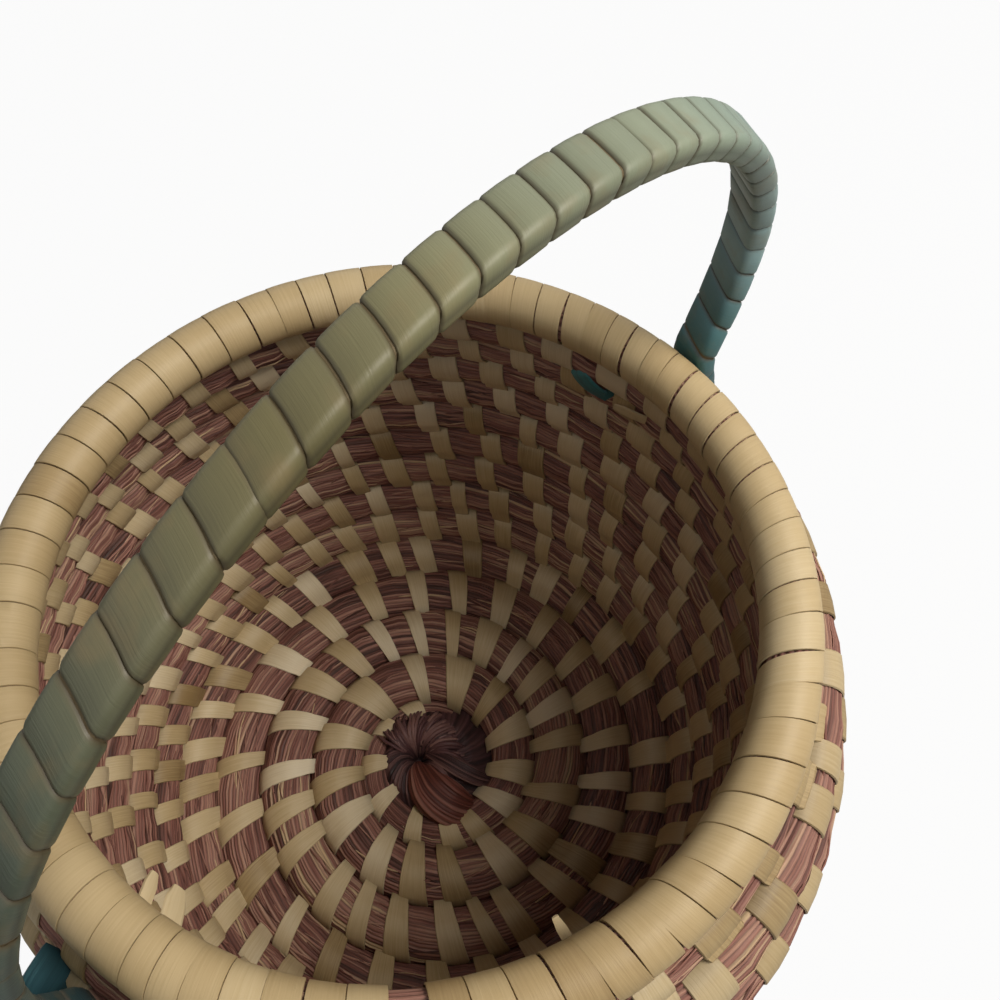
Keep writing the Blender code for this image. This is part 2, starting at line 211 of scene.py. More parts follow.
def surfaceNodes(tree, look):
    # fibre noise drawn out along u, a relief of it, wider noise from place, the tone attribute, and the attribute of
    # painted shade, which is 1 where no shade is painted
    uvMap = addNode(tree, "UVMap", {"uv_map": "UVMap"})
    stretch = addNode(tree, "VectorMath", {"operation": "MULTIPLY"},
        {0: uvMap, 1: (1 / look["fibreLength"], 1 / look["fibreWidth"], 1)})
    fibre = addNode(tree, "TexNoise", {"noise_dimensions": "2D"},
        {"Vector": stretch, "Scale": 1.0, "Detail": 3.0, "Roughness": 0.6})
    relief = addNode(tree, "Bump", {}, {"Height": fibre, "Strength": 1.0, "Distance": look["relief"]})
    place = addNode(tree, "TexCoord", output="Object")
    stain = addNode(tree, "TexNoise", {}, {"Vector": place, "Scale": 1 / look["stainSize"],
        "Detail": look["stainDetail"]})
    tone = attribute(tree, "tone")
    depth = attribute(tree, "depth")
    tone = combine(tree, "MULTIPLY_ADD", fibre, look["fibreTone"], tone)
    return fibre, relief, stain, tone, depth


def plantMaterial(name, ramp, look):
    # ramp: colours over tone, which fibres and stains shift; the painted shade attribute darkens it down to
    # depthShade, as painted shade in valleys, creases and ends
    material, tree, shader = newMaterial(name)
    fibre, relief, stain, tone, depth = surfaceNodes(tree, look)
    tone = combine(tree, "MULTIPLY_ADD", stain, look["stainTone"], tone)
    tone = combine(tree, "SUBTRACT", tone, 0.5 * (look["fibreTone"] + look["stainTone"]))
    colour = addNode(tree, "ValToRGB", {"ramp": ramp}, {"Fac": tone})
    # painted shade: the colour is multiplied down where the painted shade attribute is low
    dark = addNode(tree, "MapRange", {}, {"Value": depth, "To Min": look["depthShade"], "To Max": 1.0})
    shade = addNode(tree, "Mix", {"data_type": "RGBA", "blend_type": "MULTIPLY"},
        {"Factor": 1.0, "A": colour, "B": dark}, "Result")
    rough = addNode(tree, "MapRange", {}, {"Value": fibre, "To Min": look["roughLow"], "To Max": look["roughHigh"]})
    setInputs(tree, shader, {"Base Color": shade, "Roughness": rough, "Normal": relief,
        "Specular IOR Level": look["specular"]})
    return material


# Split palm-like leaf: pale straw with fine lengthwise fibres and a waxy skin
leafLook = dict(fibreLength=0.014, fibreWidth=0.0004, stainSize=0.02, stainDetail=2.0, fibreTone=0.5, stainTone=0.5,
    depthShade=0.45, roughLow=0.36, roughHigh=0.6, relief=0.00006, specular=0.42)
stitchLeaf = plantMaterial("straw_leaf", [(0.0, "#8E7650"), (0.35, "#BBA57D"), (0.65, "#CEBB96"), (1.0, "#E2D4B8")],
    leafLook)
rimLeaf = plantMaterial("rim_leaf", [(0.0, "#9A8058"), (0.35, "#BCA47A"), (0.7, "#CFB990"), (1.0, "#DECCA8")],
    {**leafLook, "fibreTone": 0.35, "stainTone": 0.4})
tealLeaf = plantMaterial("teal_leaf", [(0.0, "#14272E"), (0.45, "#284A54"), (0.75, "#3B6870"), (1.0, "#3F8C92")],
    leafLook)
# Dyed grass: thin dull stems, mauve to plum brown, a few left tan
grassLook = dict(leafLook, fibreLength=0.009, fibreWidth=0.00025, stainSize=0.03, fibreTone=0.55, depthShade=0.42,
    roughLow=0.42, roughHigh=0.75, relief=0.00012, specular=0.4)
grassStem = plantMaterial("dyed_grass", [(0.0, "#4A2E26"), (0.35, "#8A5A50"), (0.7, "#B38677"), (0.88, "#C6A28A"),
    (1.0, "#D2B692")], grassLook)
knotStem = plantMaterial("knot_grass", [(0.0, "#241514"), (0.5, "#5C3C3E"), (1.0, "#94706A")], grassLook)
lobeStem = plantMaterial("lobe_grass", [(0.0, "#45201A"), (0.5, "#7E4439"), (1.0, "#A8766A")],
    {**grassLook, "roughLow": 0.35})

# Dyed leaf that has faded unevenly: teal at the feet, olive and sage over the top, worn brown in patches; the pale
# blue stops near 0.76 and 0.83 are its own blue brightened further as painted light on the far part, and the edge
# colour is painted shade at the strip edges
handleLook = dict(fibreLength=1 / 80, fibreWidth=1 / 2600, stainSize=1 / 150, stainDetail=3.0, fibreTone=0.35,
    lightLow=0.68, lightHigh=1.18, wornLow=0.52, wornHigh=0.75, wornShare=0.4, sideShade=0.56, relief=0.00005,
    worn="#8E7B58", edge="#4A3F2C", ramp=[(0.0, "#1F3A42"), (0.10, "#2C4549"), (0.20, "#42524F"), (0.29, "#56604F"),
    (0.36, "#67664E"), (0.43, "#726C49"), (0.49, "#828060"), (0.55, "#8A917A"), (0.62, "#939D88"),
    (0.68, "#92A396"), (0.76, "#A2BBBC"), (0.83, "#98BCC4"), (0.88, "#5F9098"), (0.93, "#27606C"),
    (1.0, "#214750")])


def handleMaterial(look):
    # the ramp runs over the way along the handle; its side faces are darker as painted shade, and its strip edges
    # blend into a dark edge colour as painted shade
    material, tree, shader = newMaterial("dyed_handle_leaf")
    fibre, relief, stain, tone, depth = surfaceNodes(tree, look)
    way = attribute(tree, "way")
    face = attribute(tree, "face")
    colour = addNode(tree, "ValToRGB", {"ramp": look["ramp"]}, {"Fac": way})
    level = addNode(tree, "MapRange", {}, {"Value": tone, "From Min": 0.0, "From Max": 1 + look["fibreTone"],
        "To Min": look["lightLow"], "To Max": look["lightHigh"]})
    worn = addNode(tree, "MapRange", {}, {"Value": stain, "From Min": look["wornLow"], "From Max": look["wornHigh"],
        "To Max": look["wornShare"]})
    dye = addNode(tree, "Mix", {"data_type": "RGBA"}, {"Factor": worn, "A": colour, "B": linearColour(look["worn"])},
        "Result")
    # painted shade: side faces, where face is low, are darkened down to sideShade
    side = addNode(tree, "MapRange", {}, {"Value": face, "To Min": look["sideShade"], "To Max": 1.0})
    both = combine(tree, "MULTIPLY", level, side)
    shade = addNode(tree, "Mix", {"data_type": "RGBA", "blend_type": "MULTIPLY"},
        {"Factor": 1.0, "A": dye, "B": both}, "Result")
    # painted shade: the strip edges, where the strip depths are low, blend into the dark edge colour
    edged = addNode(tree, "Mix", {"data_type": "RGBA"},
        {"Factor": depth, "A": linearColour(look["edge"]), "B": shade}, "Result")
    setInputs(tree, shader, {"Base Color": edged, "Normal": relief, "Roughness": 0.46, "Specular IOR Level": 0.45})
    return material


handleLeaf = handleMaterial(handleLook)
rodWood, rodTree, rodShader = newMaterial("dark_rod")
setInputs(rodTree, rodShader, {"Base Color": linearColour("#6A5C42"), "Roughness": 0.7})
print("Materials made")


# The line of the row centres, from the axis out over the floor and up the wall

bowl = dict(rimRadius=0.0760, rimHeight=0.1446, bellyRadius=0.0920, bellyHeight=0.0781, lowerRadius=0.200,
    cornerRadius=0.024, floorHeight=0.004995, floorPitch=0.0162, wallPitch=0.0141, pitchBlend=0.006,
    startAzimuth=202.5, knotSeat=0.0144, startShare=0.288, endShare=0.16, rimCord=0.0064, rimSeat=0.0007,
    bulge=0.0042, bulgeAzimuth=77, bulgeSpread=48, bulgeHeight=0.108, bulgeReach=0.026, stepsPerTurn=144)
upperRise, upperRun = bowl["rimHeight"] - bowl["bellyHeight"], bowl["bellyRadius"] - bowl["rimRadius"]
upperRadius = (upperRun ** 2 + upperRise ** 2) / (2 * upperRun)
cornerHeight = bowl["floorHeight"] + bowl["cornerRadius"]
lowerRise = bowl["bellyHeight"] - cornerHeight
lowerCentre = bowl["bellyRadius"] - bowl["lowerRadius"]
upperCentre = bowl["bellyRadius"] - upperRadius
cornerCentre = lowerCentre + math.sqrt((bowl["lowerRadius"] - bowl["cornerRadius"]) ** 2 - lowerRise ** 2)
lowerTurn = math.atan2(lowerRise, cornerCentre - lowerCentre)
partEnds = np.cumsum([cornerCentre, bowl["cornerRadius"] * (math.pi / 2 - lowerTurn),
    bowl["lowerRadius"] * lowerTurn, upperRadius * math.asin(upperRise / upperRadius)])
lineLength = float(partEnds[-1])


def rowLine(distance, outward=0.0):
    # radius, height and slope: flat floor, corner arc, slack arc to the belly, arc in to the rim
    distance = np.asarray(distance, float)
    corner = np.clip((distance - partEnds[0]) / bowl["cornerRadius"], 0, None)
    lower = lowerTurn - (distance - partEnds[1]) / bowl["lowerRadius"]
    upper = (distance - partEnds[2]) / upperRadius
    parts = [distance < partEnds[0], distance < partEnds[1], distance < partEnds[2]]
    slope = np.select(parts, [0 * distance, corner, math.pi / 2 - lower], math.pi / 2 + upper)
    radius = np.select(parts, [distance, cornerCentre + bowl["cornerRadius"] * np.sin(corner),
        lowerCentre + bowl["lowerRadius"] * np.cos(lower)], upperCentre + upperRadius * np.cos(upper))
    height = np.select(parts, [0 * distance + bowl["floorHeight"],
        cornerHeight - bowl["cornerRadius"] * np.cos(corner),
        bowl["bellyHeight"] - bowl["lowerRadius"] * np.sin(lower)],
        bowl["bellyHeight"] + upperRadius * np.sin(upper))
    return radius + outward * np.sin(slope), height - outward * np.cos(slope), slope


def coilEdges(steps):
    # the bundle's inner and outer edge along the line, for each step of its spiral
    topEdge = lineLength - bowl["rimCord"] - bowl["rimSeat"]
    startEdge = bowl["knotSeat"] + bowl["startShare"] * bowl["floorPitch"]
    outer = [startEdge]
    while outer[-1] < topEdge:
        wallPart = 1 / (1 + math.exp(-(outer[-1] - partEnds[0]) / bowl["pitchBlend"]))
        pitch = bowl["floorPitch"] + (bowl["wallPitch"] - bowl["floorPitch"]) * wallPart
        outer.append(min(topEdge, outer[-1] + pitch / steps))
    outer = np.array(outer + [topEdge] * steps)
    inner = np.concatenate([np.linspace(bowl["knotSeat"], startEdge, steps, endpoint=False), outer])[:len(outer)]
    thin = np.where(outer[steps:] - inner[steps:] < bowl["endShare"] * bowl["wallPitch"])[0]
    last = steps + thin[0] if len(thin) else len(outer)
    return inner[:last], outer[:last]


innerEdge, outerEdge = coilEdges(bowl["stepsPerTurn"])
fineTurn = np.arange(len(innerEdge)) / bowl["stepsPerTurn"]
lastTurn = float(fineTurn[-1])
fineRadius = rowLine((innerEdge + outerEdge) / 2)[0]
stepLength = (fineRadius[1:] + fineRadius[:-1]) / 2 * fullTurn / bowl["stepsPerTurn"]
fineLength = np.concatenate([[0], np.cumsum(stepLength)])


def wallBulge(azimuth, height):
    # the wall stands out a little farther on one side, as hand work does; azimuth in degrees
    return (bowl["bulge"] * azimuthBump(azimuth, bowl["bulgeAzimuth"], bowl["bulgeSpread"]) * bump(height,
        bowl["bulgeHeight"], bowl["bulgeReach"]))


def rowWidth(turn):
    return np.interp(turn, fineTurn, outerEdge - innerEdge)


def rowFrame(turn):
    # centre of the row, the way up the wall, the way out of the bowl, and the row's radius
    radius, height, slope = rowLine(np.interp(turn, fineTurn, (innerEdge + outerEdge) / 2))
    radius = radius + wallBulge(bowl["startAzimuth"] + 360 * turn, height)
    azimuth = math.radians(bowl["startAzimuth"]) + fullTurn * turn
    return (polar(radius, azimuth, height), polar(np.cos(slope), azimuth, np.sin(slope)),
        polar(np.sin(slope), azimuth, -np.cos(slope)), radius)


# Where the stitches lie: azimuths in each turn, which starts at 202.5 degrees, then even columns up the wall

stitchPlan = dict(turns=[[245, 278, 315, 349, 384, 412, 430, 456, 480, 509, 537, 565],
    [234, 269, 299, 324, 346, 372, 391, 409, 434, 453, 473, 498, 513, 528, 542, 558],
    [214, 230, 246, 262, 279, 296, 316, 330, 344, 364, 376, 389, 406, 418, 428, 445, 455, 470, 482, 496, 512, 526,
    542, 558], [214, 228, 244, 261, 278, 294, 312, 328, 344, 360, 374, 388, 403, 416, 429, 441, 454, 466, 478, 491,
    509, 524, 538, 549, 558], [211, 225, 234, 244, 258, 268, 278, 290, 299, 309, 318, 327, 341, 348, 358]],
    perTurn=34.85, closer=7, closerAzimuth=305, closerSpread=55, step=0.0005, driftPeriod=0.21, drift=0.1,
    closerDrift=0.22, chance=0.07, endRoom=0.01)


def stitchTurns(plan):
    # above the measured rows the spacing hangs on the azimuth alone, so that each column leans evenly,
    # and a slow drift and a little chance keep the columns from lining up too well
    chance = np.random.default_rng(11)
    found = [number + (azimuth - bowl["startAzimuth"]) / 360 for number, row in enumerate(plan["turns"])
        for azimuth in row]
    fine = np.arange(found[-1], lastTurn, plan["step"])
    closer = azimuthBump(bowl["startAzimuth"] + 360 * fine, plan["closerAzimuth"], plan["closerSpread"])
    phase = np.cumsum(plan["perTurn"] + plan["closer"] * closer) * plan["step"]
    drift = wander(fine, plan["driftPeriod"], 1, 12)[:, 0] * (plan["drift"] + plan["closerDrift"] * closer)
    phase = np.maximum.accumulate(phase + drift)
    whole = np.arange(1, int(phase[-1]))
    later = np.interp(whole + plan["chance"] * chance.normal(0, 1, len(whole)), phase, fine)
    found = np.sort(np.concatenate([found, later]))
    return found[found < lastTurn - plan["endRoom"]]


stitches = stitchTurns(stitchPlan)


# The grass bundle

coil = dict(strands=42, spacing=0.0027, exponent=2.06, thickness=0.92, fill=1.01, valley=0.00034, lift=0.00016,
    twistLength=0.42, pinch=0.08, pinchStart=0.27, pinchReach=0.2, pieces=5, foot=0.0007)
# one strand's outline from valley to valley, with painted shade that darkens its edges in the valleys, and how it
# wanders and changes tone over lengths in metres
strand = dict(places=np.array([0, 0.22, 0.5, 0.78]), depths=[0.0, 0.75, 1.0, 0.75], shoulder=0.2, crest=0.00004,
    wander=0.32, wanderPeriod=0.035, liftPeriod=0.022, tone=0.46, waves=[(0.4, 0.12, 2), (0.14, 0.012, 3)],
    sharedWave=(0.16, 0.05), tanPeriod=0.16, tanStart=0.7, tanShared=(0.25, 0.09), tanGain=2.6)


def rowSize(turn):
    # half the width and half the thickness of the bundle, drawn in a little at each stitch
    width = rowWidth(turn)
    count = np.interp(turn, stitches, np.arange(len(stitches)), left=0, right=0)
    away = np.clip((np.abs(count - np.round(count)) - coil["pinchStart"]) / coil["pinchReach"], 0, 1)
    tight = 1 - coil["pinch"] * (1 - ease(away))
    return width / 2 * coil["fill"], width / 2 * coil["thickness"] * tight


def bundle(centre, way, out, half, thick, length, settings, seed):
    # strands side by side round a superelliptic section: each crest stands over two valleys,
    # each strand wanders sideways and up and down, and all of them twist slowly along the bundle
    count = settings["strands"]
    share = np.arange(count) / count
    edges = (fullTurn * share + wander(length, strand["wanderPeriod"], count,
        seed) * strand["wander"] * fullTurn / count + fullTurn * (length / settings["twistLength"])[:, None])
    gap = (np.roll(edges, -1, axis=1) - edges) % fullTurn
    lift = wander(length, strand["liftPeriod"], count, seed + 1) * settings["lift"]
    shoulder = lift - settings["valley"] * strand["shoulder"]
    rise = np.stack([np.minimum(lift, np.roll(lift, 1, axis=1)) - settings["valley"], shoulder,
        lift + strand["crest"], shoulder], axis=2).reshape(len(length), -1)
    angle = (edges[..., None] + strand["places"] * gap[..., None]).reshape(len(length), -1)
    reach = sectionRadius(angle, half[:, None], thick[:, None], settings["exponent"]) + rise
    points = centre[:, None] + spoke(reach, angle, way[:, None], out[:, None])
    (shared, sharedPeriod), (tanShared, tanSharedPeriod) = strand["sharedWave"], strand["tanShared"]
    tone = strand["tone"] + shared * wander(length, sharedPeriod, 1, seed + 5)
    for height, period, offset in strand["waves"]:
        tone = tone + height * wander(length, period, count, seed + offset)
    tan = (wander(length, strand["tanPeriod"], count, seed + 4) - strand["tanStart"]
        + tanShared * wander(length, tanSharedPeriod, 1, seed + 6))
    tone = np.repeat(np.clip(tone + np.clip(tan, 0, 1) * strand["tanGain"], 0, 1.1), 4, axis=1)
    # painted shade: each strand is darker at its edges, in the valleys between strands
    depth = np.broadcast_to(np.tile(strand["depths"], count), tone.shape)
    columns = np.append((share[:, None] + strand["places"] / count).ravel(), 1.0)
    uv = gridUv(length[None], (columns * fullTurn * float(np.mean(half)))[None])
    return points[None], uv, {"tone": tone[None], "depth": depth[None]}


def makeCoil():
    length = np.arange(0, fineLength[-1], coil["spacing"])
    turn = np.interp(length, fineLength, fineTurn)
    centre, way, out, _ = rowFrame(turn)
    points, uv, values = bundle(centre, way, out, *rowSize(turn), length, coil, 20)
    points[..., 2] = np.maximum(points[..., 2], coil["foot"])
    cuts = np.linspace(0, len(length) - 1, coil["pieces"] + 1).astype(int)
    for number in range(coil["pieces"]):
        part = slice(cuts[number], cuts[number + 1] + 1)
        gridMesh("grass_coil_%d" % (number + 1), points[:, part], uv[:, part], grassStem,
            ["grass_coil"] if number == 0 else [], {key: value[:, part] for key, value in values.items()})


makeCoil()
print("Grass coil made")


# Loose stems that lie over the bundle at a slant

loose = dict(count=2400, stations=8, endRoom=0.05, lengths=(0.012, 0.034), insideShare=0.62, spread=0.9, slant=0.7,
    lift=0.00014, highest=1.2, lowest=-2.0, radius=0.00032, sizes=(0.55, 1.2), tip=0.25, flatness=0.7, foot=0.0003,
    tanShare=0.16, tanTones=(0.85, 1.1), tones=(0.05, 0.8))


def makeLoose():
    chance = np.random.default_rng(31)
    count, room, spread, slant = loose["count"], loose["endRoom"], loose["spread"], loose["slant"]
    start = np.interp(chance.uniform(room, fineLength[-1] - room, count), fineLength, fineTurn)
    span = chance.uniform(*loose["lengths"], count)[:, None]
    share = np.linspace(0, 1, loose["stations"])
    turn = np.clip(start[:, None] + span * share / (fullTurn * rowFrame(start)[3][:, None]), 0, lastTurn)
    facing = np.where(chance.random(count) < loose["insideShare"], -1, 1) * math.pi / 2
    angle = ((facing + chance.uniform(-spread, spread, count))[:, None]
        + chance.uniform(-slant, slant, count)[:, None] * share)
    centre, way, out, _ = rowFrame(turn)
    hump = np.sin(math.pi * share) ** 0.6
    level = loose["lift"] * (loose["lowest"] + (loose["highest"] - loose["lowest"]) * hump)
    reach = sectionRadius(angle, *rowSize(turn), coil["exponent"]) + level
    line = centre + spoke(reach, angle, way, out)
    normal = unit(spoke(1, angle, way, out))
    side = unit(np.cross(unit(np.gradient(line, axis=1)), normal))
    size = loose["radius"] * chance.uniform(*loose["sizes"], count)
    thin = size[:, None] * (loose["tip"] + (1 - loose["tip"]) * hump)
    points = tubes(line, side, normal, thin, 4, loose["flatness"])
    points[..., 2] = np.maximum(points[..., 2], loose["foot"])
    uv = stemUv(span * share, 4, chance)
    tone = np.where(chance.random(count) < loose["tanShare"], chance.uniform(*loose["tanTones"], count),
        chance.uniform(*loose["tones"], count))
    gridMesh("loose_stems", points, uv, grassStem, (), {"tone": tone[:, None, None], "depth": 1.0})


makeLoose()
print("Loose stems made")


# The stitches: a flat strip out of the row below, over the new row and back, drawn tight

# each hill is its height, first turn, azimuth and spread in degrees; the tone hills are painted shade round azimuth
# 120 and painted light round azimuth 205
stitch = dict(share=0.66, thickness=0.00034, crown=0.00012, lift=0.00034, bite=0.0013, leastRow=0.0035,
    widthTurns=[0, 1, 2, 3, 4, 5, 9, 12, 14], widths=[0.0056, 0.0080, 0.0066, 0.0072, 0.0074, 0.0068, 0.0066,
    0.0064, 0.0062], broader=0.0022, broaderShare=0.08, widthChance=0.13, slantTurns=[0, 1, 3, 5, 14],
    slants=[0.002, 0.0026, 0.003, 0.0034, 0.0036], slantChance=0.0008, sideTurns=[1.5, 3, 4.2, 5.2, 6.5, 14],
    sideSlants=[0, 0.003, 0.0045, 0.0015, 0, 0], angles=[46, 58, 71, 84, 97, 111, 126, 142, 160], tone=0.56,
    toneChance=0.2, broadHills=[(1, 7, 162, 45), (0.75, 8, 92, 34)],
    slantHills=[(0.0016, 4.5, 300, 60), (-0.002, 8, 175, 30)], paintedLightHills=[(-0.3, 6, 120, 38), (0.24, 8, 205, 34)])


def hills(turn, azimuth, rows):
    return np.array([height * np.clip(turn - first, 0, 1) * azimuthBump(azimuth, centre, spread)
        for height, first, centre, spread in rows])


def makeStitches():
    chance = np.random.default_rng(17)
    turn = stitches[rowWidth(stitches) > stitch["leastRow"]]
    count = len(turn)
    azimuth = (bowl["startAzimuth"] + 360 * turn) % 360
    radius = rowFrame(turn)[3]
    half, thick = (size[:, None] for size in rowSize(turn))
    spacing = np.gradient(turn) * fullTurn * radius
    broad = hills(turn, azimuth, stitch["broadHills"]).max(axis=0)
    width = np.interp(turn, stitch["widthTurns"], stitch["widths"]) + stitch["broader"] * broad
    width = width * (1 + stitch["widthChance"] * np.clip(chance.normal(0, 1, count), -1.8, 1.8))
    width = np.minimum(width, spacing * (stitch["share"] + stitch["broaderShare"] * broad))[:, None]
    slant = (np.interp(turn, stitch["slantTurns"], stitch["slants"])
        + np.interp(turn, stitch["sideTurns"], stitch["sideSlants"]) * azimuthBump(azimuth, 335, 50)
        + hills(turn, azimuth, stitch["slantHills"]).sum(axis=0)
        + stitch["slantChance"] * chance.normal(0, 1, count))[:, None]
    below = np.where(turn < 1, 0.004, rowWidth(np.clip(turn - 1, 0, None)) / 2)[:, None]
    bite = stitch["bite"] * (1 + 0.3 * chance.uniform(-1, 1, (count, 1)))
    power = coil["exponent"]
    dip = below * coil["thickness"] * (1 - np.clip(1 - bite / below, 0, 1) ** power) ** (1 / power)
    # section angles from the lower edge of the row to just under the next one
    angles = math.pi - np.radians(stitch["angles"])[None]
    reach = sectionRadius(angles, half, thick, power) + stitch["lift"]
    overAcross, overOut = reach * np.cos(angles), reach * np.sin(angles)
    start = -half - bite
    across = np.concatenate([start - bite * 0.1, start, (start + overAcross[:, :1]) / 2, overAcross], axis=1)
    outward = np.concatenate([dip * 0.2, dip * 0.94, (dip + overOut[:, :1]) / 2 + 0.0003, overOut], axis=1)
    steps = np.hypot(np.diff(across, axis=1), np.diff(outward, axis=1))
    share = np.concatenate([0 * half, np.cumsum(steps, axis=1)], axis=1)
    share = share / share[:, -1:]
    # inside of the bowl first, then back down the outside
    pathAcross = np.concatenate([across, across[:, ::-1]], axis=1)
    pathOut = np.concatenate([-outward, outward[:, ::-1]], axis=1)
    back = share[:, ::-1]
    both = np.concatenate([share, back], axis=1)
    shift = slant * np.concatenate([share - 0.5, 1 - 0.5 * back], axis=1)
    narrow = np.interp(both, [0, 0.2, 0.5, 1], [0.82, 0.9, 1, 0.97])
    tangentAcross, tangentOut = np.gradient(pathAcross, axis=1), np.gradient(pathOut, axis=1)
    size = np.hypot(tangentAcross, tangentOut)
    normalAcross, normalOut = tangentOut / size, -tangentAcross / size
    # the strip's face turns out of the row, and away from the row below at both ends
    toOuter = np.sign(normalAcross * pathAcross + normalOut * pathOut)
    toOuter[:, :3] = np.where(normalOut[:, :3] < 0, 1, -1)
    toOuter[:, -3:] = np.where(normalOut[:, -3:] > 0, 1, -1)
    place = np.array([-1, -0.94, 0, 0.94, 1])
    level = np.array([0, 1, 1, 1, 0]) * stitch["thickness"] + np.array([0, 0, 1, 0, 0]) * stitch["crown"]
    sideways = shift[..., None] + (width * narrow / 2)[..., None] * place
    spot = turn[:, None, None] + sideways / (fullTurn * radius[:, None, None])
    centre, way, out, _ = rowFrame(np.clip(spot, 0, lastTurn))
    moveAcross = pathAcross[..., None] + (normalAcross * toOuter)[..., None] * level
    moveOut = pathOut[..., None] + (normalOut * toOuter)[..., None] * level
    points = centre + moveAcross[..., None] * way + moveOut[..., None] * out
    points[..., 2] = np.maximum(points[..., 2], 0.0)
    along = np.cumsum(np.concatenate([0 * half, size[:, 1:]], axis=1), axis=1)
    along = np.concatenate([along, along[:, -1:] + 0.005], axis=1)
    offset = chance.random(count)[:, None]
    uv = gridUv(along + offset * 3, np.append(place, -1)[None] * width / 2 + offset)
    # painted shade and light: stitches of the upper rows are darker round azimuth 120 and lighter round azimuth 205
    tone = (chance.normal(stitch["tone"], stitch["toneChance"], count)
        + hills(turn, azimuth, stitch["paintedLightHills"]).sum(axis=0))
    tone = np.clip(tone, 0, 1.05)[:, None, None]
    # painted shade: each stitch is darkest at both ends, where it dives into the row below, a little darker over the
    # top under the next row, and darker at its edges
    depth = (np.interp(both, [0, 0.12, 0.26, 0.86, 1], [0.05, 0.3, 1, 1, 0.5])[..., None]
        * np.array([0.6, 1, 1, 1, 0.6]))
    gridMesh("stitches", points, uv, stitchLeaf, ["stitch_ray_%02d" % n for n in range(1, 13)],
        {"tone": tone, "depth": depth}, 40, closedAlong=True)


makeStitches()
print("Stitches made")


# The rim: a bundle bent into a ring and bound with a strip, wrap beside wrap, with lines between at these azimuths

rim = dict(core=0.0053, radius=0.0057, gap=0.00011, wideGap=0.0004, thickness=0.0003, crown=0.00005, stations=190,
    tilt=1.0, sectionEnds=(-80, 262), radiusChance=(-0.00008, 0.0001), tone=0.52, strands=22, exponent=2,
    valley=0.0004, lift=0.0, twistLength=1e9, places=[-1, -0.965, -0.4, 0.4, 0.965, 1],
    depths=[0.45, 0.94, 1, 1, 0.94, 0.45], lines=[47.5, 52.5, 57.6, 62.6, 67.5, 72.2, 77, 81.9, 86.6, 92.8, 98.0,
    103.6, 109.6, 115.0, 119.6, 125.3, 130.2, 135, 140, 144.7, 149.5, 154.7, 159.2, 163.8, 168.8, 173.1, 177.1,
    181.2, 185.0, 189.5, 194, 198.8, 203.5, 208.5, 213.6, 219, 224.5, 230, 236, 241, 246, 251.2, 257.3, 263.5,
    269.8, 275.5, 281, 286.6, 292, 297.6, 303.3, 309.1, 314.9, 322.2, 328.1, 333.5, 338.8, 344, 349.3, 354.6, 359.8,
    364.5, 369.6, 373.3, 377.3, 382, 387, 392, 397.2, 402.5])


def makeRim():
    ringRadius = bowl["rimRadius"]
    azimuth = np.linspace(0, fullTurn, rim["stations"], endpoint=False)
    centre = polar(ringRadius, azimuth, bowl["rimHeight"])
    size = np.full(rim["stations"], rim["core"])
    points, uv, values = bundle(centre, polar(1, azimuth, 0), polar(0, azimuth, 1), size, size, azimuth * ringRadius,
        rim, 60)
    closing = np.concatenate([uv, uv[:, :1] + np.array([fullTurn * ringRadius, 0])], axis=1)
    gridMesh("rim_bundle", points, closing, grassStem, ["rim_core"], values, closedAlong=True)

    # each wrap is a short sleeve that is open underneath, at the inner and lower side of the cord
    chance = np.random.default_rng(23)
    lines = np.radians(rim["lines"])
    middle, half = (lines[1:] + lines[:-1]) / 2, (lines[1:] - lines[:-1]) / 2
    count, degrees = len(middle), np.degrees(middle) % 360
    tilt = np.radians(rim["tilt"] + 1.3 * azimuthBump(degrees, 120, 50) - azimuthBump(degrees, 300, 60))
    tilt = tilt * (1 + 0.12 * chance.normal(0, 1, count))
    section = np.radians(np.linspace(*rim["sectionEnds"], 28))[None]
    place = np.array(rim["places"])
    rise = np.array([0, 1, 1, 1, 1, 0]) * rim["thickness"] + np.array([0, 0, 1, 1, 0, 0]) * rim["crown"]
    gap = rim["gap"] * chance.uniform(0.25, 1.3, count) + rim["wideGap"] * azimuthBump(degrees, 163, 5)
    turned = middle[:, None] - tilt[:, None] * (np.degrees(section) - 50) / 100
    turned = turned[..., None] + (half - gap / ringRadius / 2)[:, None, None] * place
    radius = rim["radius"] + chance.uniform(*rim["radiusChance"], count)[:, None, None] + rise
    section = section[..., None]
    points = polar(ringRadius + radius * np.cos(section), turned, bowl["rimHeight"] + radius * np.sin(section))
    along = (section - section[:, :1])[..., 0] * rim["radius"]
    offset = chance.random(count)[:, None]
    uv = gridUv(along + offset * 3, np.append(place, -1)[None] * (half * ringRadius)[:, None] + offset)
    # painted light and shade: the wraps are lighter round azimuth 125 and darker round azimuth 66
    tone = (chance.normal(rim["tone"], 0.1, count) + 0.14 * azimuthBump(degrees, 125, 50)
        - 0.3 * azimuthBump(degrees, 66, 26))
    # painted shade: each wrap darkens toward its edges, along the lines between the wraps
    gridMesh("rim_wraps", points, uv, rimLeaf, ["rim_wrap"],
        {"tone": np.clip(tone, 0, 1)[:, None, None], "depth": rim["depths"]}, 60)


makeRim()
print("Rim made")


# The handle: a flat rod bound with strip, standing beside the axis; wraps and sizes stand at places along it

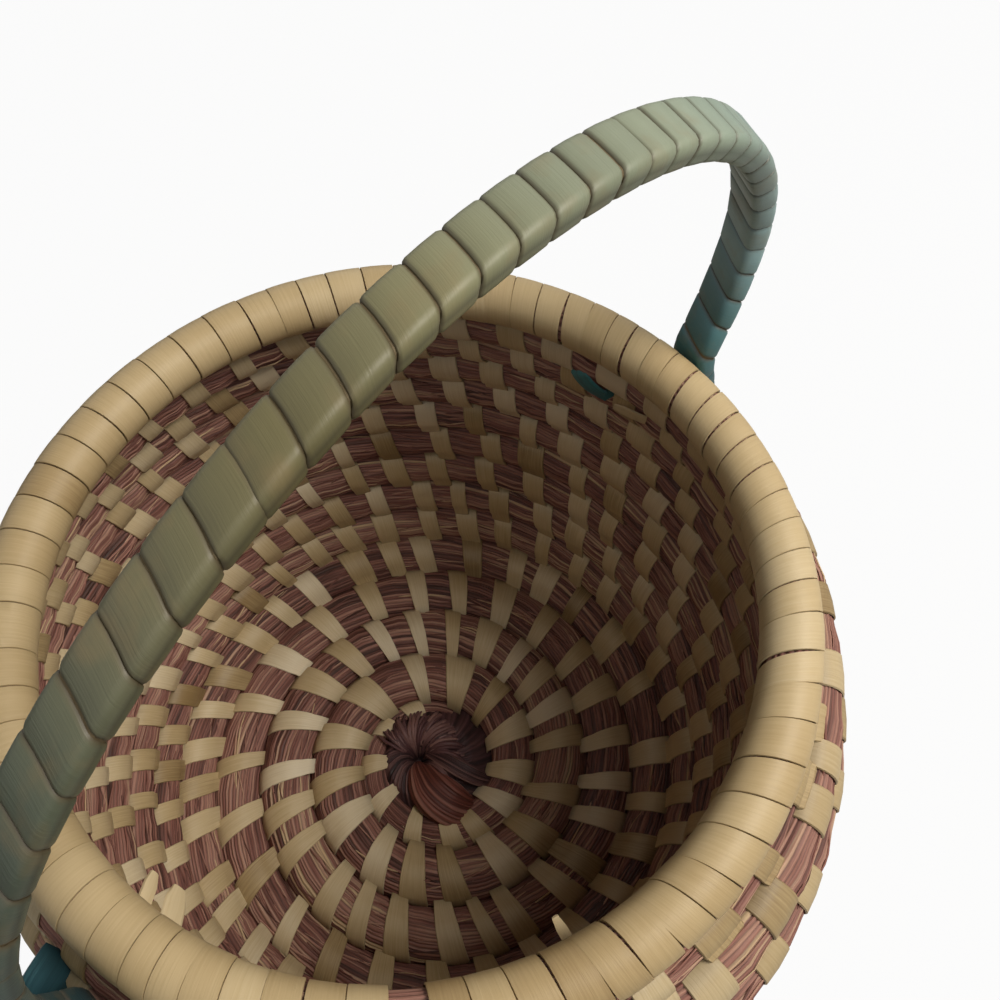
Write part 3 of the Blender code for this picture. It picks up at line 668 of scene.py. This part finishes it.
handle = dict(span=0.0918, rise=0.0677, spring=0.0234, offset=-0.0005, lean=-8.3, exponent=1.89, side=0.0113,
    width=0.0087, thick=0.0042, corner=0.0013, legHeight=0.0060, footStart=0.0130, footEnd=0.0300, standOff=0.00799,
    farStandOff=0.0066, legShift=(-0.0034, 0.0012), legMiddle=0.169, legReach=0.021, endRoom=0.0006, gap=0.0001,
    strip=0.0003, crown=0.00005, bow=0.0003, drift=0.0004, places=[0, 0.2, 0.35, 0.5, 0.7, 0.85, 1],
    sizes=[1, 0.97, 0.96, 1.0, 1.17, 1.16, 1.08], wraps=[0.0084, 0.0081, 0.0073, 0.0064, 0.0064, 0.0072, 0.0080],
    stripPlaces=[-1, -0.95, -0.8, 0, 0.8, 0.95, 1], stripRise=[-0.6, 0.3, 1, 1, 1, 0.3, -0.6],
    stripDepths=[0.05, 0.4, 0.93, 1, 0.93, 0.4, 0.05])


def archPlace(turn):
    # a superellipse that leans a little in the handle's plane
    lean = math.radians(handle["lean"])
    across, up = (np.sign(part) * np.abs(part) ** (2 / handle["exponent"]) * size
        for part, size in ((np.cos(turn), handle["span"]), (np.sin(turn), handle["rise"])))
    return np.stack([handle["offset"] + across * math.cos(lean) - up * math.sin(lean),
        bowl["rimHeight"] + handle["spring"] + across * math.sin(lean) + up * math.cos(lean)], axis=-1)


def footPlace(drop, side):
    radius, height, _ = rowLine(lineLength - drop, handle["standOff" if side > 0 else "farStandOff"])
    return np.stack([side * radius, height], axis=-1)


def bridge(before, after):
    # a cubic from the end of one line to the start of the next, leaving and arriving along them
    reach = np.linalg.norm(after[0] - before[-1])
    leave, arrive = unit(before[-1] - before[-2]) * reach, unit(after[1] - after[0]) * reach
    share = np.linspace(0, 1, 14, endpoint=False)[1:, None]
    return ((1 - ease(share)) * before[-1] + (share ** 3 - 2 * share ** 2 + share) * leave + ease(share) * after[0]
        + (share ** 3 - share ** 2) * arrive)


def handleLine():
    arch = archPlace(np.linspace(-math.pi / 2, 1.5 * math.pi, 720))
    above = np.where(arch[:, 1] > bowl["rimHeight"] + handle["legHeight"])[0]
    arch = arch[above[0]:above[-1] + 1]
    drops = np.linspace(handle["footEnd"], handle["footStart"], 12)
    near, far = footPlace(drops, 1), footPlace(drops[::-1], -1)
    return np.vstack([near, bridge(near, arch), arch, bridge(arch, far), far])


rodLine = handleLine()
rodLength = lengthAlong(rodLine)


def linePlace(length):
    return np.stack([np.interp(length, rodLength, rodLine[:, axis]) for axis in (0, 1)], axis=-1)


def rodFrame(length):
    # the rod's centre, and the way out of the arch, which is square to the line
    place = linePlace(length)
    ahead = unit(linePlace(length + 0.0015) - linePlace(length - 0.0015))
    # the near leg stands a little nearer the axis between its foot and the arch
    near = bump(place[..., 1], handle["legMiddle"], handle["legReach"]) * (place[..., 0] > 0)
    shiftAlong, shiftSide = handle["legShift"]
    centre = np.stack([place[..., 0] + shiftAlong * near, handle["side"] + shiftSide * near, place[..., 1]], axis=-1)
    return centre, np.stack([ahead[..., 1], 0 * length, -ahead[..., 0]], axis=-1)


def rodSection(width, thick, corner):
    # a rounded rectangle from the middle of the right side over the top: places sideways and away
    turn = np.radians([0, 30, 60, 90])
    half, rise = width / 2 - corner, thick / 2 - corner
    quarter = np.stack([half + corner * np.cos(turn), rise + corner * np.sin(turn)], axis=-1)
    right = np.concatenate([[[width / 2, 0]], quarter, [[half * 0.4, thick / 2]]])
    upper = np.concatenate([right, right[::-1] * [-1, 1]])
    return np.concatenate([upper, upper[1:-1][::-1] * [1, -1]])


def rodPlace(length, sideways, away):
    # a place on the rod, whose section rolls a little along the arch
    centre, outward = rodFrame(length)
    size = np.interp(length / rodLength[-1], handle["places"], handle["sizes"])
    sideways, away = sideways * size, away * size
    share = centre[..., 0] / 0.09
    roll = -0.042 - 0.123 * share + 0.395 * share ** 2
    roll = roll * ease(np.clip((centre[..., 2] - 0.137) / 0.016, 0, 1))
    across = np.array([0, 1.0, 0])
    return (centre + (away * np.cos(roll) - sideways * np.sin(roll))[..., None] * outward
        + (sideways * np.cos(roll) + away * np.sin(roll))[..., None] * across)


def makeHandle():
    total = rodLength[-1]
    stations = np.linspace(handle["endRoom"], total - handle["endRoom"], 170)
    wide, thick, strip = handle["width"], handle["thick"], handle["strip"]
    core = rodSection(wide - 0.0007, thick - 0.0007, handle["corner"] * 0.7)
    grid = np.ones((len(stations), len(core)))
    points = rodPlace(stations[:, None] * grid, core[:, 0] * grid, core[:, 1] * grid)[None]
    gridMesh("handle_rod", points, gridUv(stations[None], np.linspace(0, 0.025, len(core) + 1)[None]), rodWood,
        ["handle_core"])

    # one strip wound as a helix: it climbs the rod by its pitch at each turn
    section = rodSection(wide, thick, handle["corner"])
    around = lengthAlong(np.vstack([section, section[:1]]))
    fine = np.linspace(0, total, 500)
    pitch = np.interp(fine / total, handle["places"], handle["wraps"])
    count = np.concatenate([[0], np.cumsum(2 * (fine[1] - fine[0]) / (pitch[1:] + pitch[:-1]))])
    turns = int(count[-1]) - 1
    count = count * (turns + 1) / count[-1]
    winding = (np.arange(turns)[:, None] + around[:-1] / around[-1]).ravel()
    wobble = wander(winding, 1.3, 3, 47)
    before, after = np.interp(winding, count, fine), np.interp(winding + 1, count, fine)
    place = np.array(handle["stripPlaces"])
    rise = np.array(handle["stripRise"]) * strip + (place == 0) * handle["crown"] - strip * 0.5
    flat = np.tile(section, (turns, 1))
    bow = handle["bow"] * (0.4 - (2 * flat[:, 0] / wide) ** 2)
    middle = (before + after) / 2 + bow + handle["drift"] * wobble[:, 0]
    spread = (after - before) / 2 - handle["gap"] / 2 * (1 + 0.5 * wobble[:, 1])
    outward = unit(flat / np.array([wide, thick]) ** 3)
    lifted = flat[:, None] + outward[:, None] * rise[None, :, None]
    length = np.clip(middle[:, None] + spread[:, None] * place, 0.0, total)
    points = rodPlace(length, lifted[..., 0], lifted[..., 1])[None]
    uv = gridUv((winding * around[-1])[None], (np.append(place, -1) * 0.004)[None])
    way = length / total
    # face is 1 on the top and bottom and 0 on the sides, which the material darkens as painted shade; past 0.66 of
    # the way it is raised, so the far sides get almost none of this painted shade
    face = np.maximum(np.abs(outward[:, 1])[:, None], np.clip((way - 0.66) / 0.1, 0, 0.85))
    tone = np.clip(0.5 + 0.4 * wander(winding, 2.2, 1, 49), 0, 1)
    # the strip depths paint shade toward each wrap's edges
    gridMesh("handle_wraps", points, uv, handleLeaf, ["handle_wrap"],
        {"tone": tone[None], "way": way[None], "face": face[None], "depth": handle["stripDepths"]}, 40)


makeHandle()
print("Handle made")


# The knot: the start of the bundle wound in on itself, with a folded lobe over it

knot = dict(hole=(0.0034, -0.0046), edge=0.0198, rings=44, ridges=46, ridge=0.00045, rough=0.0003, swirl=0.8,
    strands=24, exponent=2, valley=0.00032, lift=0.00012, twistLength=0.3,
    shares=[0, 0.1, 0.22, 0.4, 0.68, 0.84, 1], heights=[0.0022, 0.0034, 0.0078, 0.0096, 0.0090, 0.0064, 0.0034])
stems = dict(count=110, stations=9, radius=0.0009, sizes=(0.5, 1.2), azimuths=(105, 300), bend=-0.35,
    bendChance=0.12, starts=(0.0010, 0.0040), ends=(0.0125, 0.0168), lift=0.0011, reach=0.021, overRow=0.0030,
    overStart=0.62, endDrop=0.0012)
# places in millimetres along each lobe, its half widths there, and its thickness over its width
lobes = [("knot_lobe", lobeStem, [(4.6, -4.4, 5.0), (6.8, -0.6, 8.6), (8.8, 6.2, 10.2), (8.0, 13.4, 9.4),
    (5.0, 18.4, 6.0), (0.0, 21.0, 2.8)], [1.2, 4.4, 6.8, 7.0, 5.6, 3.6], 0.54),
    ("knot_fold", knotStem, [(0.4, -3.4, 6.6), (-0.8, 3.0, 10.0), (-2.2, 9.5, 10.4), (-4.2, 14.6, 8.4),
    (-7.0, 18.0, 4.0)], [1.2, 2.6, 2.9, 2.6, 1.8], 0.8)]


def pathFrames(path):
    # the level side of a path and the way up from it
    ahead = unit(np.gradient(path, axis=-2))
    side = unit(np.cross(np.array([0, 0, 1.0]), ahead))
    return side, unit(np.cross(ahead, side))


def smoothPath(corners, count):
    # a Catmull-Rom curve through given points
    corners = np.array(corners, float)
    padded = np.vstack([2 * corners[0] - corners[1], corners, 2 * corners[-1] - corners[-2]])
    at = np.linspace(0, len(corners) - 1, count)
    low = np.minimum(at.astype(int), len(corners) - 2)
    part = (at - low)[:, None]
    a, b, c, d = (padded[low + step] for step in range(4))
    return 0.5 * (2 * b + (c - a) * part + (2 * a - 5 * b + 4 * c - d) * part ** 2
        + (3 * b - a - 3 * c + d) * part ** 3)


def knotHeight(share):
    # the mound rises from the hole, stays level and falls to the first row
    return np.interp(share, knot["shares"], knot["heights"])


def makeMound():
    rings, ridges = knot["rings"], knot["ridges"]
    across = ridges * 4
    share = np.linspace(0.02, 1, rings)[:, None]
    angle = (np.arange(across) / across * fullTurn)[None]
    hole = np.array(knot["hole"])
    edge, twirl = (polar(knot["edge"], turned, 0)[..., :2]
        for turned in (angle, angle + knot["swirl"] * (share - 1)))
    flat = hole + (twirl - hole) * share[..., None]
    wave = wander(np.linspace(0, 1, rings), 0.25, across, 81)
    smooth = np.clip((0.9 - share) / 0.25, 0.15, 1)
    ridge = smooth * (knot["ridge"] * np.clip(share * 4, 0, 1) * (np.cos(angle * ridges) - 0.5)
        + knot["rough"] * np.clip(share * 3, 0, 1) * wave)
    top = np.concatenate([flat, (knotHeight(share) + ridge)[..., None]], axis=-1)
    under = np.linspace(1, 0.05, 4)[:, None]
    low = np.concatenate([hole + (edge - hole) * under[..., None], 0 * (under + angle)[..., None] + 0.0007], axis=-1)
    length = np.concatenate([share[:, 0] * 0.02, 0.02 + np.linspace(0.004, 0.02, 4)])
    tone = np.clip(0.4 + 0.35 * np.repeat(wander(np.zeros(2), 1, ridges, 82)[:1], 4, axis=1), 0, 1)
    # painted shade: darker toward the hole and in the grooves between the ridges
    depth = np.concatenate([np.clip(share[:, 0] * 3 - 0.1, 0, 1), np.ones(4)])
    depth = depth[:, None] * np.tile([1, 0.6, 0.1, 0.6], ridges)
    gridMesh("knot_mound", np.concatenate([top, low])[None],
        gridUv(length[None], np.linspace(0, 0.06, across + 1)[None]), knotStem, ["start_knot"],
        {"tone": tone[None], "depth": depth[None]})


def makeStems():
    # single stems fan out of the hole over the mound and the first row
    chance = np.random.default_rng(83)
    count = stems["count"]
    share = np.linspace(0, 1, stems["stations"])
    aim = np.radians(chance.uniform(*stems["azimuths"], count))
    bend = stems["bend"] + stems["bendChance"] * chance.normal(0, 1, count)
    start, end = chance.uniform(*stems["starts"], count), chance.uniform(*stems["ends"], count)
    out = start[:, None] + (end - start)[:, None] * share
    turned = aim[:, None] + bend[:, None] * share
    place = np.clip(out / stems["reach"], 0, 1)
    level = (knotHeight(place) + chance.uniform(0.0, stems["lift"], count)[:, None] * np.sin(math.pi * share) ** 0.5
        + stems["overRow"] * np.clip(place - stems["overStart"], 0, 1) - stems["endDrop"] * share ** 6)
    line = polar(out, turned, level) + np.array([*knot["hole"], 0])
    side, upward = pathFrames(line)
    thin = ((stems["radius"] * chance.uniform(*stems["sizes"], count))[:, None] * np.interp(share, [0, 0.2, 0.75, 1],
        [0.5, 1, 0.9, 0.35]))
    uv = stemUv(out, 5, chance)
    tone = chance.uniform(0.1, 1.0, count)[:, None, None]
    # painted shade: the stems are darker where they leave the hole
    gridMesh("knot_stems", tubes(line, -side, upward, thin, 5), uv, knotStem, (),
        {"tone": tone, "depth": np.clip(share * 4, 0.1, 1)[None, :, None]})


def makeLobes():
    # the bundle's folded end, a red-brown lobe, and a thinner fold beside it
    for name, material, corners, sizes, flatness in lobes:
        path = smoothPath(np.array(corners) / 1000, 46)
        half = smoothPath(np.array(sizes)[:, None] / 1000, 46)[:, 0]
        points, uv, values = bundle(path, *pathFrames(path), half, half * flatness, lengthAlong(path), knot, 90)
        gridMesh(name, points, uv, material, (), values)


makeMound()
makeStems()
makeLobes()
print("Knot made")


# Ties: teal strip through the wall and round each foot, and loose strip ends inside

ties = dict(near=dict(side=1, node="near_foot_tie", drops=(0.0112, 0.0176), middle=0.0080, reach=0.0096,
    width=0.0078, standOff=0.0106, ramp=0.0046, crown=0.0018),
    far=dict(side=-1, node="far_foot_tie", drops=(0.0245, 0.0300), middle=0.0113, reach=0.0062, width=0.0050,
    standOff=0.0066, ramp=0.0024, crown=0.0002))
tieShape = dict(stations=40, atWall=0.0046, lift=0.0004, slope=0.0012, tone=0.45)
innerTie = dict(azimuths=(-169.9, -175.8), drops=(0.0175, 0.0257), inward=0.0064, crown=0.0010, tuck=0.0035,
    width=0.0050, tone=0.85)
ribbonShape = dict(places=np.array([-1, -0.92, -0.7, -0.35, 0, 0.35, 0.7, 0.92, 1]), thickness=0.0004)
# each stray end: first azimuth, turn in degrees, drop below the rim, slope down, distance inside the wall, width
strayEnds = [(8, -5, 0.0110, 0.0035, 0.0160, 0.0050), (3, -4, 0.0100, 0.0020, 0.0142, 0.0032),
    (176, 6, 0.0270, -0.0020, 0.0078, 0.0034), (67, -1, 0.0080, -0.0080, 0.0112, 0.0020)]
strayStart = 0.0055


def wallPoint(azimuth, distance, outward):
    radius, height, _ = rowLine(distance, outward)
    return polar(radius, np.radians(azimuth), height)


def ribbon(name, path, normal, width, material, replaced, tone, crown=0.0002):
    # a flat strip along a path, with its face toward the normal
    side = unit(np.cross(unit(np.gradient(path, axis=0)), normal))
    face = unit(np.cross(side, unit(np.gradient(path, axis=0))))
    width = np.broadcast_to(width, len(path))
    place = ribbonShape["places"]
    rise = (np.abs(place) < 1) * ribbonShape["thickness"] + (1 - place ** 2) * crown
    points = (path[:, None] + (width[:, None] / 2 * place)[..., None] * side[:, None]
        + rise[None, :, None] * face[:, None])[None]
    uv = gridUv(lengthAlong(path)[None], np.append(place, -1)[None] * float(np.mean(width)) / 2)
    gridMesh(name, points, uv, material, replaced, {"tone": tone, "depth": 1.0}, 60)


def makeTies():
    for name, tie in ties.items():
        for number, drop in enumerate(tie["drops"]):
            middle = lineLength - drop
            radius = float(rowLine(middle)[0])
            spread = np.linspace(-1, 1, tieShape["stations"])
            aside = tie["middle"] + tie["reach"] * spread
            azimuth = np.degrees(np.arctan2(aside, tie["side"] * radius))
            over = ease(np.clip((tie["reach"] - np.abs(aside - tie["middle"])) / tie["ramp"], 0, 1))
            top = tie["standOff"] + handle["thick"] / 2 + tieShape["lift"]
            outward = tieShape["atWall"] + over * (top - tieShape["atWall"])
            path = wallPoint(azimuth, middle + tieShape["slope"] * spread, outward)
            normal = unit(path - np.array([tie["side"] * radius * 0.6, tie["middle"], path[:, 2].mean()]))
            ribbon("%s_tie_%d" % (name, number + 1), path, normal, tie["width"], tealLeaf,
                [tie["node"]] if number == 0 else [], tieShape["tone"], tie["crown"])

    # the far tie's stitch inside the bowl, with both ends tucked into the wall; its tone, higher than the outside
    # ties', is painted light that lifts it where it lies in shade
    share = np.linspace(0, 1, 14)
    azimuth = np.linspace(*innerTie["azimuths"], len(share))
    inward = (innerTie["inward"] + innerTie["crown"] * np.sin(math.pi * share)
        - innerTie["tuck"] * (np.abs(share - 0.5) > 0.48))
    path = wallPoint(azimuth, lineLength - np.linspace(*innerTie["drops"], len(share)), -inward)
    ribbon("inner_tie", path, -polar(1, np.radians(azimuth), 0), innerTie["width"], tealLeaf, (),
        innerTie["tone"])

    # loose ends of strip that show just under the rim, inside
    for number, (start, turned, drop, slope, inward, width) in enumerate(strayEnds):
        azimuth = start + turned * share
        path = wallPoint(azimuth, lineLength - drop - slope * share,
            -(strayStart + (inward - strayStart) * share ** 0.7))
        ribbon("stray_end_%d" % (number + 1), path, -polar(1, np.radians(azimuth), 0),
            width * np.interp(share, [0, 0.7, 1], [1, 1, 0.6]), rimLeaf, (), 0.9)


makeTies()
print("Ties made")


# Floor, light and camera

studio = dict(floorSize=6.0, floorColour="#BDBCB8", floorRoughness=0.8, floorGlow=0.95, worldColour="#FFFDF8",
    worldStrength=0.045, lampColour="#FFF8EC", aim=0.1, distance=0.9)
# a soft key from one side and a weak fill: name, size, power, azimuth and elevation
lamps = [("key", 0.55, 7.1, 132, 56), ("fill", 0.6, 0.85, 34, 60)]
view = dict(place=(0.046856, 0.062394, 0.315456), right=(-0.6461, 0.7632, 0.0108), back=(0.3786, 0.3081, 0.8728),
    sensor=36, lens=34.02, clip=0.01)


def makeStage():
    bpy.ops.mesh.primitive_plane_add(size=studio["floorSize"], location=(0, 0, 0))
    floor = bpy.context.object
    floor.name = "floor"
    material, tree, shader = newMaterial("paper_floor")
    setInputs(tree, shader, {"Base Color": linearColour(studio["floorColour"]),
        "Roughness": studio["floorRoughness"]})
    glow = addNode(tree, "Emission", {}, {"Color": (1, 1, 1, 1), "Strength": 1.0})
    ray = addNode(tree, "LightPath", output="Is Camera Ray")
    seen = combine(tree, "MULTIPLY", ray, studio["floorGlow"])
    mix = addNode(tree, "MixShader", {}, {0: seen, 1: shader.outputs[0], 2: glow})
    setInputs(tree, tree.nodes["Material Output"], {"Surface": mix})
    floor.data.materials.append(material)

    # the world lights weakly, and shows white to the camera and in gloss
    world = bpy.data.worlds.new("studio")
    scene.world = world
    world.use_nodes = True
    tree = world.node_tree
    light = addNode(tree, "Background", {}, {"Color": linearColour(studio["worldColour"]),
        "Strength": studio["worldStrength"]})
    white = addNode(tree, "Background", {}, {"Color": (1, 1, 1, 1), "Strength": 1.0})
    seen = addNode(tree, "LightPath", output="Is Camera Ray")
    for name in ("Is Glossy Ray", "Is Transmission Ray"):
        ray = addNode(tree, "LightPath", output=name)
        seen = combine(tree, "MAXIMUM", seen, ray)
    mix = addNode(tree, "MixShader", {}, {0: seen, 1: light, 2: white})
    setInputs(tree, tree.nodes["World Output"], {"Surface": mix})

    for name, size, power, azimuth, elevation in lamps:
        lamp = bpy.data.lights.new(name, "AREA")
        lamp.shape = "DISK"
        lamp.size = size
        lamp.energy = power
        lamp.color = linearColour(studio["lampColour"])[:3]
        item = bpy.data.objects.new(name, lamp)
        scene.collection.objects.link(item)
        elevation, distance, aim = math.radians(elevation), studio["distance"], studio["aim"]
        item.location = polar(distance * math.cos(elevation), math.radians(azimuth),
            aim + distance * math.sin(elevation))
        item.rotation_mode = "QUATERNION"
        item.rotation_quaternion = (item.location - Vector((0, 0, aim))).to_track_quat("Z", "Y")


def makeCamera():
    camera = bpy.data.objects.new("camera", bpy.data.cameras.new("camera"))
    scene.collection.objects.link(camera)
    scene.camera = camera
    camera.data.sensor_width = view["sensor"]
    camera.data.lens = view["lens"]
    camera.data.clip_start = view["clip"]
    back = Vector(view["back"])
    up = back.cross(Vector(view["right"])).normalized()
    right = up.cross(back).normalized()
    turned = Matrix((right, up, back.normalized())).transposed()
    camera.matrix_world = Matrix.Translation(view["place"]) @ turned.to_4x4()


makeStage()
makeCamera()
scene.view_settings.view_transform = "Standard"
print("Stage, light and camera made")
